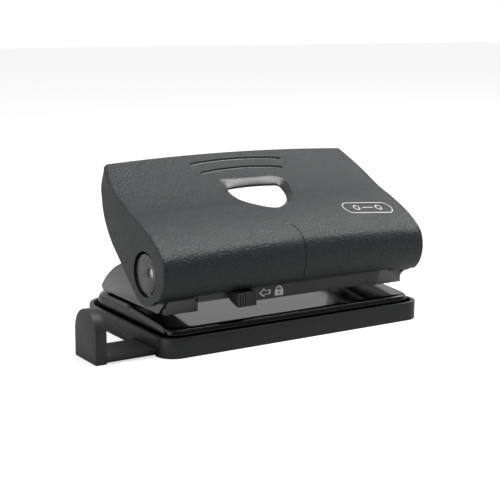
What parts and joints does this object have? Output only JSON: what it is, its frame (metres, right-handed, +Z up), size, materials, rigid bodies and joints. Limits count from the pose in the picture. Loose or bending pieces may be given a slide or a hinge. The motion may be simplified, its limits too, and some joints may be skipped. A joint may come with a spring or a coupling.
{
  "type": "hole punch",
  "caption": "Desk hole punch: pressed steel base on a confetti tray, steel frame, curved plastic lever, punch pins, sliding lock and a pull-out paper guide.",
  "frame": {"origin": "middle of the tray's underside, on the surface that the punch stands on", "axes": "+X along the punch's width, to the right seen from the paper side; -Y towards the paper side, where the sheets go in; +Z up"},
  "size_m": [0.1179, 0.06, 0.054],
  "materials": {
    "tray_plastic": "satin black moulded plastic, faintly grained",
    "gloss_enamel": "glossy black stove enamel on pressed steel",
    "satin_grey_metal": "smooth satin dark grey coating on steel sheet",
    "grained_plastic": "charcoal moulded plastic with a fine leather-like grain",
    "lock_plastic": "smooth satin dark grey plastic with a white printed lock mark",
    "guide_plastic": "satin dark grey moulded plastic",
    "bright_steel": "bright turned and ground steel",
    "spring_steel": "plain drawn spring wire"
  },
  "bodies": {
    "tray": {"tray": "tray_plastic"},
    "guide": {"paper_guide": "guide_plastic"},
    "chassis": {"base_pan": "gloss_enamel", "die_left": "bright_steel", "die_right": "bright_steel", "punch_frame": "satin_grey_metal", "frame_rivets": "bright_steel", "pin_guide_left": "bright_steel", "pin_guide_right": "bright_steel", "axle_rod": "bright_steel", "axle_clips": "bright_steel"},
    "lever": {"lever_shell": "grained_plastic", "pivot_disc_left": "satin_grey_metal", "pivot_disc_right": "satin_grey_metal", "rocker_left": "satin_grey_metal", "rocker_right": "satin_grey_metal"},
    "punch_left": {"punch_pin_left": "bright_steel", "pin_spring_left": "spring_steel"},
    "punch_right": {"punch_pin_right": "bright_steel", "pin_spring_right": "spring_steel"},
    "lock": {"lock_slider": "lock_plastic"}
  },
  "joints": [
    {"name": "base_open", "type": "hinge", "parent": "tray", "child": "chassis", "pos_m": [0, 0.0287, 0.0052], "axis": [-1, 0, 0], "range_deg": [0, 60]},
    {"name": "guide_slide", "type": "slide", "parent": "tray", "child": "guide", "axis": [-1, 0, 0], "range_m": [-0.0155, 0.02]},
    {"name": "lever_press", "type": "hinge", "parent": "chassis", "child": "lever", "pos_m": [0, -0.0202, 0.0245], "axis": [-1, 0, 0], "range_deg": [0, 17], "stiffness_Nm_per_rad": 0.4, "springref_deg": -5.73},
    {"name": "punch_left_slide", "type": "slide", "parent": "chassis", "child": "punch_left", "axis": [0, 0, -1], "range_m": [0, 0.00715], "deforming": ["pin_spring_left"]},
    {"name": "punch_right_slide", "type": "slide", "parent": "chassis", "child": "punch_right", "axis": [0, 0, -1], "range_m": [0, 0.00715], "deforming": ["pin_spring_right"]},
    {"name": "lock_slide", "type": "slide", "parent": "chassis", "child": "lock", "axis": [-1, 0, 0], "range_m": [0, 0.005]}
  ],
  "couplings": [
    {"joint": "punch_left_slide", "follows": "lever_press", "m_per_rad": 0.024},
    {"joint": "punch_right_slide", "follows": "lever_press", "m_per_rad": 0.024}
  ]
}
